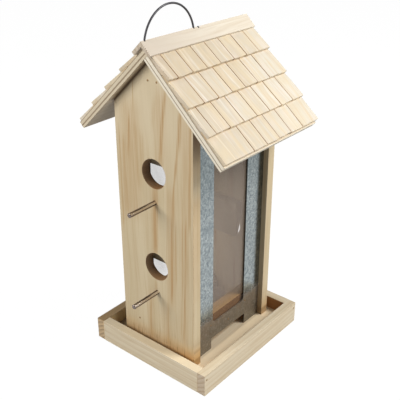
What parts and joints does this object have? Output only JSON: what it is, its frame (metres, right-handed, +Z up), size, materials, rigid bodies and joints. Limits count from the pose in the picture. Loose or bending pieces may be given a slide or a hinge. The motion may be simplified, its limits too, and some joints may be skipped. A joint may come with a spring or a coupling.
{
  "type": "bird feeding station",
  "caption": "House-shaped wooden bird feeder: seed hopper with clear side windows, gables with feeding holes and perches, a tray below and a lift-off shingled roof with a wire handle.",
  "frame": {"origin": "middle of the tray's underside", "axes": "+Z up; +Y along the ridge, from the front gable to the back one; +X across the house, towards its right window"},
  "size_m": [0.2132, 0.232, 0.4275],
  "materials": {
    "tray_wood": "planed",
    "gable_wood": "planed",
    "rail_wood": "sawn",
    "plywood": "plain",
    "shingle_wood": "split",
    "ridge_wood": "planed",
    "galvanised_sheet": "galvanised",
    "clear_pane": "clear",
    "perch_steel": "bright",
    "handle_steel": "drawn"
  },
  "bodies": {
    "house": {"tray_floor": "tray_wood", "right_tray_rail": "tray_wood", "left_tray_rail": "tray_wood", "front_tray_rail": "tray_wood", "back_tray_rail": "tray_wood", "front_gable": "gable_wood", "back_gable": "gable_wood", "front_upper_perch": "perch_steel", "front_lower_perch": "perch_steel", "back_upper_perch": "perch_steel", "back_lower_perch": "perch_steel", "top_rail": "rail_wood", "right_lower_rail": "rail_wood", "left_lower_rail": "rail_wood", "right_window_frame": "galvanised_sheet", "left_window_frame": "galvanised_sheet", "right_window_pane": "clear_pane", "left_window_pane": "clear_pane", "front_upper_shield": "rail_wood", "front_lower_shield": "rail_wood", "back_upper_shield": "rail_wood", "back_lower_shield": "rail_wood"},
    "roof": {"right_roof_panel": "plywood", "left_roof_panel": "plywood", "front_ridge_block": "rail_wood", "back_ridge_block": "rail_wood", "right_shingle_course_1": "shingle_wood", "left_shingle_course_1": "shingle_wood", "right_shingle_course_2": "shingle_wood", "left_shingle_course_2": "shingle_wood", "right_shingle_course_3": "shingle_wood", "left_shingle_course_3": "shingle_wood", "right_shingle_course_4": "shingle_wood", "left_shingle_course_4": "shingle_wood", "right_ridge_board": "ridge_wood", "left_ridge_board": "ridge_wood", "handle_wire": "handle_steel"}
  },
  "joints": [
    {"name": "roof_lift", "type": "slide", "parent": "house", "child": "roof", "axis": [0, 0, 1], "range_m": [0, 0.12]}
  ]
}
